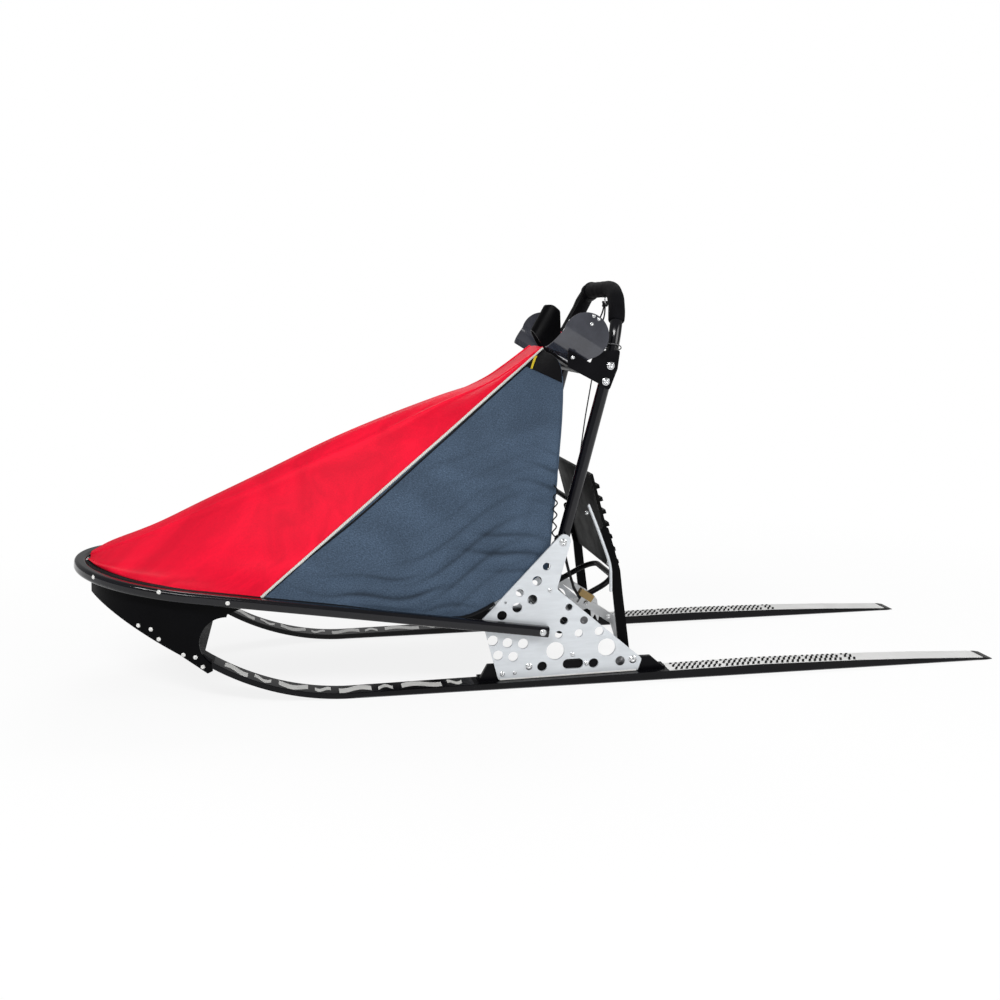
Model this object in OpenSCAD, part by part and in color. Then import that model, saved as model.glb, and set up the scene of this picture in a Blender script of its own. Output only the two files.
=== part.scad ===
// Dog sled: two ski runners, pierced side plates, a bow of bent profile,
// a raked handlebar, a tent-shaped cargo bag, a claw brake and a stowed drag mat.
// +X points to the runner tails, +Y to the sled's right, +Z up, millimetres.

/* [Runners] */
// Distance between the centre lines of the runners
runner_spacing = 500; // [440:1:560]
// Width of a runner
runner_w = 62; // [50:1:70]
// From the middle of the sled back to the runner tails
tail_reach = 1083; // [900:1:1200]
// Outer radius of the upturned runner tips
tip_radius = 560; // [540:1:600]
// Where the flat sole ends and the upturn starts
tip_start_x = -465; // [-490:1:-440]
// Thickness of a runner at its upturned tip
tip_t = 11; // [8:0.5:14]
// Angle of arc that the upturned tip covers
tip_sweep = 50; // [49:0.5:52]

/* [Side plates] */
// Thickness of a side plate
plate_t = 6; // [4:0.5:8]
// Thickness of the upright rib between a runner and its side plate
rib_t = 12; // [10:0.5:16]
// Height of the upright rib above the snow
rib_h = 51; // [51:1:56]
// Diameter of the tube that joins the side plates
plate_tube_d = 30; // [20:1:34]

/* [Rails and bow] */
// Width of the rail profile
rail_w = 26; // [20:1:30]
// Height of the rail profile
rail_h = 24; // [20:1:28]
// Slope of the rails, rising to the front
rail_pitch = 8.5; // [7:0.1:9]
// Length of one rail, from its bolt end to the joint with the bow
rail_len = 735; // [700:1:760]
// Straight leg at each end of the bow
bow_leg = 52.1; // [20:0.1:60]
// Thickness of the front plates
front_plate_t = 6; // [4:0.5:8]

/* [Handlebar] */
// Diameter of the handlebar tube
bar_d = 28; // [22:1:30]
// Outer diameter of the foam grip
grip_d = 38; // [34:1:44]
// Distance from the sled's middle to each handlebar leg
bar_half = 218; // [212:1:226]
// Height of the bend where the bar turns more upright
bar_bend_z = 700; // [680:1:720]
// Length of the bar above the bend, measured along its lean
bar_top_len = 200.8; // [180:1:240]
// Radius of the two corners of the arch
bar_corner_r = 145; // [100:1:170]

/* [Brake] */
// Diameter of the brake axle
axle_d = 18; // [14:1:19]
// Side of the square brake arms
arm_side = 20; // [16:1:24]
// Distance from the sled's middle to each brake arm
arm_half = 130; // [124:1:150]
// Diameter of the pedal hoop's tube
pedal_d = 14; // [10:1:16]

/* [Drag mat] */
// Width of the drag mat
mat_w = 380; // [300:1:388]
// Length of the drag mat
mat_len = 240; // [200:1:250]
// Thickness of the mat's rubber sheet
mat_t = 7; // [5:0.5:9]
// Height of the mat's lugs
lug_h = 10; // [6:0.5:11]
// Thickness of the flat arms that carry the mat
mat_arm_t = 6; // [4:0.5:8]

/* [Cargo bag] */
// Thickness of the bag's fabric panels
cloth_t = 3; // [2:0.5:4]
// Gap between the bag's edges and the side plates
bag_gap = 0.3; // [0.2:0.1:4]

/* [Hidden] */

run_fit = 0.05;      // radial clearance of a turning pin
seat_gap = 0.2;      // clearance between parts that rest on each other
round_fn = 48;

// Layout across the sled, from the runner's centre line outwards
half = runner_spacing / 2;
rib_out = half + rib_t / 2;
plate_out = rib_out + plate_t;
rail_out = plate_out + rail_w;

// Rail's bolt end, at the middle of its height
rail_end = [-19, 127];
bow_centre = -(rail_len + bow_leg);

// Runner thickness along its length: [x, top z]
RUNNER_TOP = [
    [tip_start_x, tip_t], [-178, 14], [197, 19], [488, 22],
    [739, 18], [893, 13], [tail_reach - 14, 5]
];

// Side plate outline: [x, z, corner radius]
PLATE = [
    [-168, 159, 6], [53.7, 386.4, 15], [5, 222, 10],
    [206, 48, 8], [196, 20, 5], [-132, 15.6, 6]
];
// Lightening holes of the side plate: [x, z, diameter]
PLATE_HOLES = [
    [-19, 275, 18], [-41, 243, 22], [-81, 217, 18], [-114, 196, 6],
    [-52, 200, 23], [-87, 183, 23], [-122, 166, 23], [-12, 220, 7],
    [33, 178, 17], [21, 147, 19], [56, 116, 19], [9, 115, 18], [104, 118, 21],
    [1, 77, 42], [122, 79, 42], [-144, 109, 24], [-110, 102, 23], [-74, 98, 24],
    [-132, 74, 23], [-97, 69, 23], [-30, 42, 23], [-94, 31, 5],
    [41, 67, 9], [74, 44, 9], [91, 43, 23], [154, 45, 22]
];
plate_slot = [30, 55, 44.5, 24];   // first x, last x, z, width

// Front plate outline: [x, z]; its top lies behind the bow
front_plate_top = 6;
FRONT_PLATE = [
    [-1030, 236], [-985, 209], [-916, 167], [-832, 115], [-775, 70],
    [-764, 75], [-764, 95], [-728, 200], [-697, 212], [-690, 215]
];
front_cut = [-733, 137, 57];       // x, z, radius of the scallop

// Front cross bars, set under the runner tips: along, thick
cross_bar = [44, 18];
cross_bar_angles = [37, 47];

// Handlebar; the grip starts at this height above the bend
grip_from = 124;
bar_foot = [24, 312];
bar_bend_x = 129;
bar_lean_top = 12.5;
plate_bolt = [19, 329];
cross_rod_z = 414;
cross_rod_d = 12;
bracket_t = 5;
bracket_tube = [100, 708, 18];     // x, z, diameter
// Handlebar bracket outline: [x, z, corner radius]
BRACKET = [
    [36, 722, 3], [36, 762, 3], [88, 730, 3], [99, 757, 5],
    [156, 758, 5], [150, 716, 8], [131, 668, 5], [112, 681, 3]
];

// Hand guard: a sheet curled in at its lower edge
guard_foot = [25.5, 745];
guard_lean = 32;
guard_curl_r = 60;
guard_t = 3;
guard_out = 247;
guard_dome = [18, 65, 52];         // along, up, radius

// Shield on the middle of the bag's top end
shield_foot = [10, 762];
shield_lean = 30;
shield_r = 30;
shield_tie = [28, 754];
shield_tie_t = 5;
SHIELD = [[-32, 30, 3], [-32, 108, 18], [5, 100, 10], [36, 50, 12], [36, 10, 3], [20, 0, 3]];

// Brake, about its axle
axle = [68, 146];
brake_arm_start = [88, 165.4];
brake_arm_end = [176.4, 105.7];
pedal_half = 108;
pedal_end = [183, 205];
pedal_corner_r = 46;
claw_t = 8;
// Claw outline: [x, z, corner radius]
CLAW = [
    [164, 112, 2], [178, 122, 3], [194, 99, 3], [200, 60, 2],
    [197, 40, 1], [189, 62, 2], [180, 46, 1], [177, 70, 3]
];

// Drag mat, stowed upright on its pivots
mat_pivot = [184, 45];
mat_pin_d = 10;
mat_foot = [160, 239];
mat_lean = 14.7;
lug_pitch = 31;
lug_t = 9;
lug_len = 76;
// Mat arm outline: [x, z, corner radius]
MAT_ARM = [
    [171, 32, 11], [154, 190, 20], [149, 240, 30], [122, 344, 6],
    [141, 349, 6], [171, 245, 30], [177, 190, 20], [197, 32, 11]
];

// Tow eye: plate thickness, hole radius, rim radius, and the hole's x and top z
tow_plate_t = 8;
tow_hole_r = 10;
tow_rim_r = 20;
tow_eye_at = [-940, 186];

// Bag sections from nose to rear. Each row holds the half section's corners,
// [x, y, z] of base, shoulder, seam and crest, y measured from the middle.
bag_half = rib_out - bag_gap;
BAG = [
    [[-1046, 30, 288], [-1046, 26, 291], [-1046, 22, 294], [-1046, 12, 301]],
    [[-1010, bag_half - 142, 284], [-1010, 100, 292], [-1010, 84, 299], [-1010, 26, 319]],
    [[-900, bag_half - 36, 268], [-900, 170, 290], [-900, 130, 312], [-900, 30, 359]],
    [[-793, bag_half, 253], [-793, 200, 285], [-793, 150, 322], [-793, 30, 407]],
    [[-655, bag_half, 232], [-655, 205, 275], [-655, 160, 330], [-655, 30, 469]],
    [[-477, bag_half, 205], [-477, 208, 285], [-477, 165, 353], [-477, 30, 549]],
    [[-222, bag_half, 166], [-222, 200, 360], [-222, 138, 556], [-222, 30, 646]],
    [[-112, bag_half, 210], [-100, 205, 470], [-112, 112, 655], [-112, 40, 682]],
    [[-14, bag_half - 8, 262], [28, 218, 680], [12, 86, 756], [12, 56, 762]]
];
rear_panel_z = [265.3, 470];
rear_panel_x = [-12, 8];

// ---------------------------------------------------------------- helpers

// Points of a rounded corner at b, between a and c
function corner(a, b, c, r) =
    let (
        u = (a - b) / norm(a - b),
        v = (c - b) / norm(c - b),
        half_angle = acos(u * v) / 2,
        p = b + u * r / tan(half_angle),
        q = b + v * r / tan(half_angle),
        m = b + (u + v) / norm(u + v) * r / sin(half_angle),
        start = atan2(p.y - m.y, p.x - m.x),
        turn = atan2(q.y - m.y, q.x - m.x) - start,
        sweep = turn > 180 ? turn - 360 : (turn < -180 ? turn + 360 : turn)
    )
    [for (i = [0:6]) m + r * [cos(start + sweep * i / 6), sin(start + sweep * i / 6)]];

// Outline with its corners rounded, from rows of [x, z, radius]
function rounded(rows) =
    let (n = len(rows), at = [for (p = rows) [p[0], p[1]]])
    [for (i = [0:n - 1]) each corner(at[(i + n - 1) % n], at[i], at[(i + 1) % n], rows[i][2])];

// Height of the rail's middle at x
function rail_z(x) = rail_end.y - tan(rail_pitch) * (x - rail_end.x);

// Handlebar leg's x at height z, below the bend
function leg_x(z) =
    bar_foot.x + (bar_bend_x - bar_foot.x) * (z - bar_foot.y) / (bar_bend_z - bar_foot.y);

// A solid with an [x, z] outline, between y0 and y1
module slab(y0, y1) {
    translate([0, y1, 0]) rotate([90, 0, 0]) linear_extrude(y1 - y0) children();
}

// A round bar from p to q
module rod(p, q, d) {
    v = q - p;
    translate(p) rotate([0, acos(v.z / norm(v)), atan2(v.y, v.x)])
        cylinder(h = norm(v), d = d, $fn = round_fn);
}

// A hole or pin across the sled, centred on [x, z]
module across(at, d, y0, y1) {
    translate([at.x, y1, at.y]) rotate([90, 0, 0]) cylinder(h = y1 - y0, d = d, $fn = round_fn);
}

module soft_rect(w, h, r) {
    square([w - 2 * r, h], center = true);
    square([w, h - 2 * r], center = true);
    for (sx = [-1, 1], sy = [-1, 1]) {
        translate([sx * (w / 2 - r), sy * (h / 2 - r)]) circle(r, $fn = round_fn);
    }
}

// The left-hand piece, or its mirror image on the right
module on_right() {
    mirror([0, 1, 0]) children();
}

// Frame of the rails: origin at their bolt ends, -X along them to the front
module rail_frame() {
    translate([rail_end.x, 0, rail_end.y]) rotate([0, rail_pitch, 0]) children();
}

// Space between the front plates: straight, closing in a half circle of radius r
module nose_space(r) {
    rail_frame() {
        translate([bow_centre, 0, -260]) cylinder(h = 300, r = r, $fn = 96);
        translate([bow_centre, -r, -260]) cube([200, 2 * r, 300]);
    }
}

// ---------------------------------------------------------------- runners

// Point on the upturned tip, at radius r and angle a from the end of the flat sole
function tip_point(r, a) = [tip_start_x - r * sin(a), tip_radius - r * cos(a)];

module runner_profile() {
    step = tip_sweep / 30;
    polygon(concat(
        [for (i = [30:-1:1]) tip_point(tip_radius - tip_t, i * step)],
        RUNNER_TOP,
        [[tail_reach, 2.5], [tail_reach, 1.5], [tail_reach - 14, 0]],
        [for (i = [0:30]) tip_point(tip_radius, i * step)]
    ));
}

module runner_left() {
    color("#1b1b1d") difference() {
        slab(-half - runner_w / 2, -half + runner_w / 2) runner_profile();
        difference() {
            translate([-1200, -half - runner_w, 0]) cube([436, 2 * runner_w, 400]);
            nose_space(rib_out - 2 * seat_gap);
        }
    }
}

module runner_bracket_left() {
    top = [for (x = [-177, -120, 197, 264]) [x, lookup(x, RUNNER_TOP)]];
    color("#151517") difference() {
        union() {
            slab(-rib_out, -half + rib_t / 2)
                polygon(concat(top, [[229, rib_h], [-156, rib_h]]));
            slab(-rib_out, -half + runner_w / 2 - 3) polygon(concat(
                top, [for (i = [3:-1:0]) [top[i].x, top[i].y + 6]]
            ));
        }
        across(mat_pivot, mat_pin_d + 2 * run_fit, -half - 40, -half + 60);
    }
}

module side_plate_left() {
    color("#cfd3d8") slab(-plate_out, -rib_out) difference() {
        polygon(rounded(PLATE));
        for (h = PLATE_HOLES) translate([h[0], h[1]]) circle(d = h[2], $fn = round_fn);
        for (x = [plate_slot[0], plate_slot[1]]) {
            translate([x, plate_slot[2]]) circle(d = plate_slot[3], $fn = round_fn);
        }
        translate([plate_slot[0], plate_slot[2] - plate_slot[3] / 2])
            square([plate_slot[1] - plate_slot[0], plate_slot[3]]);
        translate(axle) circle(d = axle_d + 2 * run_fit, $fn = round_fn);
        translate(mat_pivot) circle(d = mat_pin_d + 2 * run_fit, $fn = round_fn);
    }
}

module plate_cross_tube() {
    color("#151517") across([14, 131], plate_tube_d, -rib_out, rib_out);
}

// ---------------------------------------------------------------- bow, rails and nose

module side_rail_left() {
    color("#101012") rail_frame() translate([-rail_len, -rail_out + rail_w / 2, 0])
        rotate([90, 0, 90]) linear_extrude(rail_len) soft_rect(rail_w, rail_h, 8);
}

module brush_bow() {
    color("#101012") rail_frame() {
        translate([bow_centre, 0, 0]) rotate([0, 0, 90]) rotate_extrude(angle = 180, $fn = 120)
            translate([rail_out - rail_w / 2, 0]) soft_rect(rail_w, rail_h, 8);
        for (s = [-1, 1]) translate([bow_centre, s * (rail_out - rail_w / 2), 0])
            rotate([90, 0, 90]) linear_extrude(bow_leg) soft_rect(rail_w, rail_h, 8);
    }
}

module front_plate_left() {
    first = FRONT_PLATE[0].x;
    last = FRONT_PLATE[len(FRONT_PLATE) - 1].x;
    color("#0e0e10") intersection() {
        difference() {
            nose_space(plate_out - seat_gap);
            nose_space(plate_out - front_plate_t);
        }
        slab(-plate_out - 1, -60) difference() {
            polygon(concat(FRONT_PLATE, [
                [last, rail_z(last) + front_plate_top], [first, rail_z(first) + front_plate_top]
            ]));
            translate([front_cut[0], front_cut[1]]) circle(front_cut[2], $fn = 96);
        }
    }
}

module front_cross_bar(angle) {
    color("#1a1a1c") intersection() {
        translate([tip_start_x, 0, tip_radius]) rotate([0, angle, 0])
            translate([0, 0, -(tip_radius + seat_gap + cross_bar.y / 2)])
            cube([cross_bar.x, 2 * plate_out, cross_bar.y], center = true);
        nose_space(plate_out - front_plate_t - seat_gap);
    }
}

// Lug with an upright hole, bent over from a foot on the lower face of the upper cross bar
module tow_eye() {
    color("#8e9298") difference() {
        translate([tip_start_x, 0, tip_radius]) rotate([0, cross_bar_angles[1], 0])
            translate([0, 0, -(tip_radius + cross_bar.y + 2 * seat_gap + tow_plate_t / 2)])
            cube([cross_bar.x, 2 * tow_rim_r, tow_plate_t], center = true);
        translate([-1000, -50, tow_eye_at.y]) cube([200, 100, 80]);
    }
    color("#8e9298") difference() {
        intersection() {
            translate([0, 0, tow_eye_at.y - tow_plate_t]) linear_extrude(tow_plate_t) {
                translate([tow_eye_at.x, 0]) circle(tow_rim_r, $fn = 64);
                translate([tow_eye_at.x, -tow_rim_r]) square([80, 2 * tow_rim_r]);
            }
            translate([tip_start_x, 0, tip_radius]) rotate([0, cross_bar_angles[1], 0])
                translate([-100, -50, -(tip_radius + cross_bar.y + 2 * seat_gap + tow_plate_t) - 100])
                cube([200, 100, 100 + tow_plate_t]);
        }
        translate([tow_eye_at.x, 0, tow_eye_at.y - 20])
            cylinder(h = 40, r = tow_hole_r, $fn = round_fn);
    }
}

// ---------------------------------------------------------------- handlebar

// The bar's path as a solid of diameter d
module bar_path(d) {
    for (s = [-1, 1]) {
        rod([bar_foot.x, s * bar_half, bar_foot.y], [bar_bend_x, s * bar_half, bar_bend_z], d);
    }
    translate([bar_bend_x, 0, bar_bend_z]) rotate([0, bar_lean_top, 0]) {
        for (s = [-1, 1]) {
            translate([0, s * bar_half, 0])
                cylinder(h = bar_top_len - bar_corner_r, d = d, $fn = round_fn);
            translate([0, s * bar_half, 0]) sphere(d = d + 0.6, $fn = round_fn);
        }
        translate([0, 0, bar_top_len]) rotate([90, 0, 0])
            cylinder(h = 2 * (bar_half - bar_corner_r), d = d, center = true, $fn = round_fn);
        for (s = [-1, 1]) {
            translate([0, s * (bar_half - bar_corner_r), bar_top_len - bar_corner_r])
                rotate([90, 0, 90 * s]) rotate_extrude(angle = 90, $fn = 96)
                translate([bar_corner_r, 0]) circle(d = d, $fn = round_fn);
        }
    }
}

module handlebar() {
    color("#121214") {
        bar_path(bar_d);
        for (s = [-1, 1]) {
            y0 = s > 0 ? bar_half : -rib_out;
            y1 = s > 0 ? rib_out : -bar_half;
            across(plate_bolt, 22, y0, y1);
        }
    }
}

module handlebar_grip() {
    color("#1c1c1e") difference() {
        translate([bar_bend_x, 0, bar_bend_z]) rotate([0, bar_lean_top, 0]) {
            translate([0, 0, bar_top_len]) rotate([90, 0, 0])
                cylinder(h = 2 * (bar_half - bar_corner_r), d = grip_d, center = true, $fn = round_fn);
            for (s = [-1, 1]) {
                translate([0, s * (bar_half - bar_corner_r), bar_top_len - bar_corner_r])
                    rotate([90, 0, 90 * s]) rotate_extrude(angle = 90, $fn = 96)
                    translate([bar_corner_r, 0]) circle(d = grip_d, $fn = round_fn);
            }
        }
        bar_path(bar_d + 2 * run_fit);
        translate([bar_bend_x, 0, bar_bend_z]) rotate([0, bar_lean_top, 0])
            translate([-100, -400, 0]) cube([200, 800, grip_from]);
    }
}

module handlebar_cross_rod() {
    color("#121214") difference() {
        across([leg_x(cross_rod_z), cross_rod_z], cross_rod_d, -bar_half, bar_half);
        bar_path(bar_d);
    }
}

module handlebar_bracket_left() {
    inner = bar_half + bar_d / 2 + 2 * seat_gap;
    color("#131315") slab(-inner - bracket_t, -inner)
        polygon(rounded(BRACKET));
}

module bracket_cross_tube() {
    reach = bar_half + bar_d / 2;
    color("#131315") across([bracket_tube[0], bracket_tube[1]], bracket_tube[2], -reach, reach);
}

module hand_guard_left() {
    color("#17171a") translate([guard_foot.x, 0, guard_foot.y]) rotate([0, guard_lean, 0])
        intersection() {
            union() {
                translate([-60, -guard_out, guard_curl_r]) cube([140, guard_t, 80]);
                intersection() {
                    translate([-60, -guard_out + guard_curl_r, guard_curl_r]) rotate([0, 90, 0])
                        difference() {
                            cylinder(h = 140, r = guard_curl_r, $fn = 96);
                            translate([0, 0, -1])
                                cylinder(h = 142, r = guard_curl_r - guard_t, $fn = 96);
                        }
                    translate([-60, -guard_out, 0])
                        cube([140, guard_curl_r, guard_curl_r]);
                }
            }
            slab(-guard_out - 1, 0) {
                translate([guard_dome[0], guard_dome[1]]) circle(guard_dome[2], $fn = 96);
                polygon([[-38, -1], [38, -1], [62, 38], [18, 65], [-32, 52]]);
            }
        }
}

module center_shield() {
    color("#17171a") {
        translate([shield_foot.x, 0, shield_foot.y]) rotate([0, shield_lean, 0]) intersection() {
            difference() {
                shield_post(shield_r);
                translate([0, 0, -1]) shield_post(shield_r - guard_t);
            }
            slab(-shield_r - 1, shield_r + 1) polygon(rounded(SHIELD));
        }
        slab(-shield_r + 1, shield_r - 1) difference() {
            tie = [bracket_tube[0], bracket_tube[1]];
            v = tie - shield_tie;
            n = shield_tie_t / 2 * [-v.y, v.x] / norm(v);
            polygon([shield_tie + n, shield_tie - n, tie - n, tie + n]);
            translate(tie) circle(d = bracket_tube[2] + 2 * seat_gap, $fn = round_fn);
        }
    }
}

// Upright with a round front, open-ended to the rear
module shield_post(r) {
    cylinder(h = 120, r = r, $fn = 96);
    translate([0, -r, 0]) cube([60, 2 * r, 120]);
}

// ---------------------------------------------------------------- cargo bag

// A sheet through rows of points, thickened by the vector shift
module cloth(rows, shift) {
    n = len(rows);
    m = len(rows[0]);
    count = n * m;
    points = concat([for (r = rows, p = r) p], [for (r = rows, p = r) p + shift]);
    function id(i, j) = i * m + j;
    faces = concat(
        [for (i = [0:n - 2], j = [0:m - 2]) each [
            [id(i, j), id(i + 1, j), id(i + 1, j + 1)],
            [id(i, j), id(i + 1, j + 1), id(i, j + 1)]
        ]],
        [for (i = [0:n - 2], j = [0:m - 2]) each [
            [count + id(i, j), count + id(i + 1, j + 1), count + id(i + 1, j)],
            [count + id(i, j), count + id(i, j + 1), count + id(i + 1, j + 1)]
        ]],
        [for (i = [0:n - 2]) each [
            [id(i, 0), count + id(i, 0), count + id(i + 1, 0)],
            [id(i, 0), count + id(i + 1, 0), id(i + 1, 0)],
            [id(i, m - 1), id(i + 1, m - 1), count + id(i + 1, m - 1)],
            [id(i, m - 1), count + id(i + 1, m - 1), count + id(i, m - 1)]
        ]],
        [for (j = [0:m - 2]) each [
            [id(0, j), id(0, j + 1), count + id(0, j + 1)],
            [id(0, j), count + id(0, j + 1), count + id(0, j)],
            [id(n - 1, j), count + id(n - 1, j), count + id(n - 1, j + 1)],
            [id(n - 1, j), count + id(n - 1, j + 1), id(n - 1, j + 1)]
        ]]
    );
    polyhedron(points, faces);
}

function left(p) = [p.x, -p.y, p.z];
function raised(p, dz) = [p.x, p.y, p.z + dz];

module bag_side_left() {
    rows = [for (r = BAG) [left(raised(r[0], cloth_t + 1)), left(r[1]), left(raised(r[2], -cloth_t - 1))]];
    color("#4b5d70") cloth(rows, [0, cloth_t, 0]);
}

module bag_top() {
    rows = [for (r = BAG) [left(r[2]), left(r[3]), r[3], r[2]]];
    color("#e11430") cloth(rows, [0, 0, -cloth_t]);
}

module bag_floor() {
    rows = [for (r = BAG) [left(raised(r[0], cloth_t)), raised(r[0], cloth_t)]];
    color("#26262a") cloth(rows, [0, 0, -cloth_t]);
}

module bag_rear_panel() {
    y = bag_half - 22;
    rows = [
        [[rear_panel_x[0], -y, rear_panel_z[0]], [rear_panel_x[0], y, rear_panel_z[0]]],
        [[rear_panel_x[1], 12 - y, rear_panel_z[1]], [rear_panel_x[1], y - 12, rear_panel_z[1]]]
    ];
    color("#1d1d20") cloth(rows, [-cloth_t, 0, 0]);
}

// ---------------------------------------------------------------- brake

module brake_axle() {
    color("#1a1a1c") across(axle, axle_d, -plate_out + 0.5, plate_out - 0.5);
}

module brake_arm_left() {
    v = brake_arm_end - brake_arm_start;
    slope = atan2(v.y, v.x);
    color("#b9bdc2") difference() {
        union() {
            translate([brake_arm_start.x, -arm_half, brake_arm_start.y]) rotate([0, -slope, 0])
                translate([0, -arm_side / 2, -arm_side / 2]) cube([norm(v), arm_side, arm_side]);
            slab(-arm_half - 4, -arm_half + 4) polygon([
                axle + [-6, -15], axle + [-15, 2], axle + [-4, 16], brake_arm_start + [2, 6],
                brake_arm_start + [30, -22], axle + [12, -13]
            ]);
        }
        across(axle, axle_d, -plate_out, 0);
    }
}

module brake_claw_left() {
    inner = arm_half - arm_side / 2;
    color("#9a9ea4") slab(-inner, -inner + claw_t) polygon(rounded(CLAW));
}

// A hoop in one tilted plane: two legs, two rounded corners and a straight tread
module brake_pedal() {
    reach = norm(pedal_end - axle);
    tilt = atan2(pedal_end.y - axle.y, pedal_end.x - axle.x);
    tread = pedal_half - pedal_corner_r;
    color("#111113") difference() {
        translate([axle.x, 0, axle.y]) rotate([0, -tilt, 0]) {
            for (s = [-1, 1]) {
                translate([4, s * pedal_half, 0]) rotate([0, 90, 0])
                    cylinder(h = reach - pedal_corner_r - 4, d = pedal_d, $fn = round_fn);
                translate([reach - pedal_corner_r, s * tread, 0]) rotate([0, 0, s > 0 ? 0 : -90])
                    rotate_extrude(angle = 90, $fn = 96)
                    translate([pedal_corner_r, 0]) circle(d = pedal_d, $fn = round_fn);
            }
            translate([reach, 0, 0]) rotate([90, 0, 0])
                cylinder(h = 2 * tread, d = pedal_d, center = true, $fn = round_fn);
        }
        across(axle, axle_d, -plate_out, plate_out);
    }
}

// ---------------------------------------------------------------- drag mat

module mat_arm_left() {
    inner = mat_w / 2;
    color("#141416") {
        slab(-inner - mat_arm_t, -inner) polygon(rounded(MAT_ARM));
        across(mat_pivot, mat_pin_d, -plate_out + 0.5, -inner);
    }
}

module drag_mat() {
    rows = floor((mat_len - lug_pitch / 2) / lug_pitch);
    color("#161618") translate([mat_foot.x, 0, mat_foot.y]) rotate([0, -mat_lean, 0]) {
        translate([0, -mat_w / 2, 0]) cube([mat_t, mat_w, mat_len]);
        for (i = [0:rows - 1], j = [-2:1]) {
            translate([mat_t - 1, (j + 0.5) * mat_w / 4 - lug_len / 2, lug_pitch * (i + 0.5)])
                cube([lug_h + 1, lug_len, lug_t]);
        }
    }
}

// ---------------------------------------------------------------- nodes

runner_left();
on_right() runner_left();  // runner_right
runner_bracket_left();
on_right() runner_bracket_left();  // runner_bracket_right
side_plate_left();
on_right() side_plate_left();  // side_plate_right
side_rail_left();
on_right() side_rail_left();  // side_rail_right
brush_bow();
front_plate_left();
on_right() front_plate_left();  // front_plate_right
front_cross_bar(cross_bar_angles[1]);  // front_cross_bar_upper
front_cross_bar(cross_bar_angles[0]);  // front_cross_bar_lower
tow_eye();
plate_cross_tube();
handlebar();
handlebar_grip();
handlebar_cross_rod();
handlebar_bracket_left();
on_right() handlebar_bracket_left();  // handlebar_bracket_right
bracket_cross_tube();
hand_guard_left();
on_right() hand_guard_left();  // hand_guard_right
center_shield();
bag_side_left();
on_right() bag_side_left();  // bag_side_right
bag_top();
bag_floor();
bag_rear_panel();
brake_axle();
brake_arm_left();
on_right() brake_arm_left();  // brake_arm_right
brake_claw_left();
on_right() brake_claw_left();  // brake_claw_right
brake_pedal();
mat_arm_left();
on_right() mat_arm_left();  // mat_arm_right
drag_mat();
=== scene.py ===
"""Dog sled: cloth, rigging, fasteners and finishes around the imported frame.

Millimetres are turned to metres by MM. +X points to the runner tails, +Y to the
sled's right and +Z up.
"""

import bmesh
import bpy
import numpy as np
from mathutils import Matrix


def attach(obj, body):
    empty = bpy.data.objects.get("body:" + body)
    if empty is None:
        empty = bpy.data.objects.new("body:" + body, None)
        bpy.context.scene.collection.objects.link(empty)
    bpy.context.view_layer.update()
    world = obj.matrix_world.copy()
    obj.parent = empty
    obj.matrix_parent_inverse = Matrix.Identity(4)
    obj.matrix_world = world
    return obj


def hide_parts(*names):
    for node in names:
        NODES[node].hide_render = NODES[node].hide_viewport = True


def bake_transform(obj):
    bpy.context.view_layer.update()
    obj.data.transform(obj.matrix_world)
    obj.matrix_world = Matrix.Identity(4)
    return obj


bl_info = {
    "name": "Dog sled dressing",
    "version": (1, 0, 0),
    "blender": (4, 5, 0),
    "location": "3D Viewport > Sidebar > Dog sled",
    "description": "Builds the bag, rigging, fasteners and finishes of a sprint dog sled",
    "category": "Object",
}

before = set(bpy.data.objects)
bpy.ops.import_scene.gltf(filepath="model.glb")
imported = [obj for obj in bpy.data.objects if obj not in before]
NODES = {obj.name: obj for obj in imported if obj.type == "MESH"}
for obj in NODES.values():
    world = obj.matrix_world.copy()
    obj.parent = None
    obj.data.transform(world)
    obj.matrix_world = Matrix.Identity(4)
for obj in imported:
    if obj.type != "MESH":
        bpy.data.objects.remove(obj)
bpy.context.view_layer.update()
MM = 0.001
SIDES = (("left", -1), ("right", 1))


# ---------------------------------------------------------------- mesh helpers

def unit(v):
    """Vectors divided by their length."""
    return v / np.maximum(np.linalg.norm(v, axis=-1, keepdims=True), 1e-9)


def grid_faces(rows, cols, start=0, wrap_rows=False, wrap_cols=False):
    """Quads joining each point of a rows x cols grid to its next neighbours."""
    i = np.arange(rows if wrap_rows else rows - 1)
    j = np.arange(cols if wrap_cols else cols - 1)
    i, j = [a.ravel() for a in np.meshgrid(i, j, indexing="ij")]
    i1, j1 = (i + 1) % rows, (j + 1) % cols
    return np.stack([i * cols + j, i * cols + j1, i1 * cols + j1, i1 * cols + j], 1) + start


def closed_rings(rows, sides):
    """Faces that join rows of points in rings, with a cap on the first and the last."""
    faces = grid_faces(rows, sides, 0, False, True).tolist()
    return faces + [list(range(sides)), list(range(rows * sides - 1, (rows - 1) * sides - 1, -1))]


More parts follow.
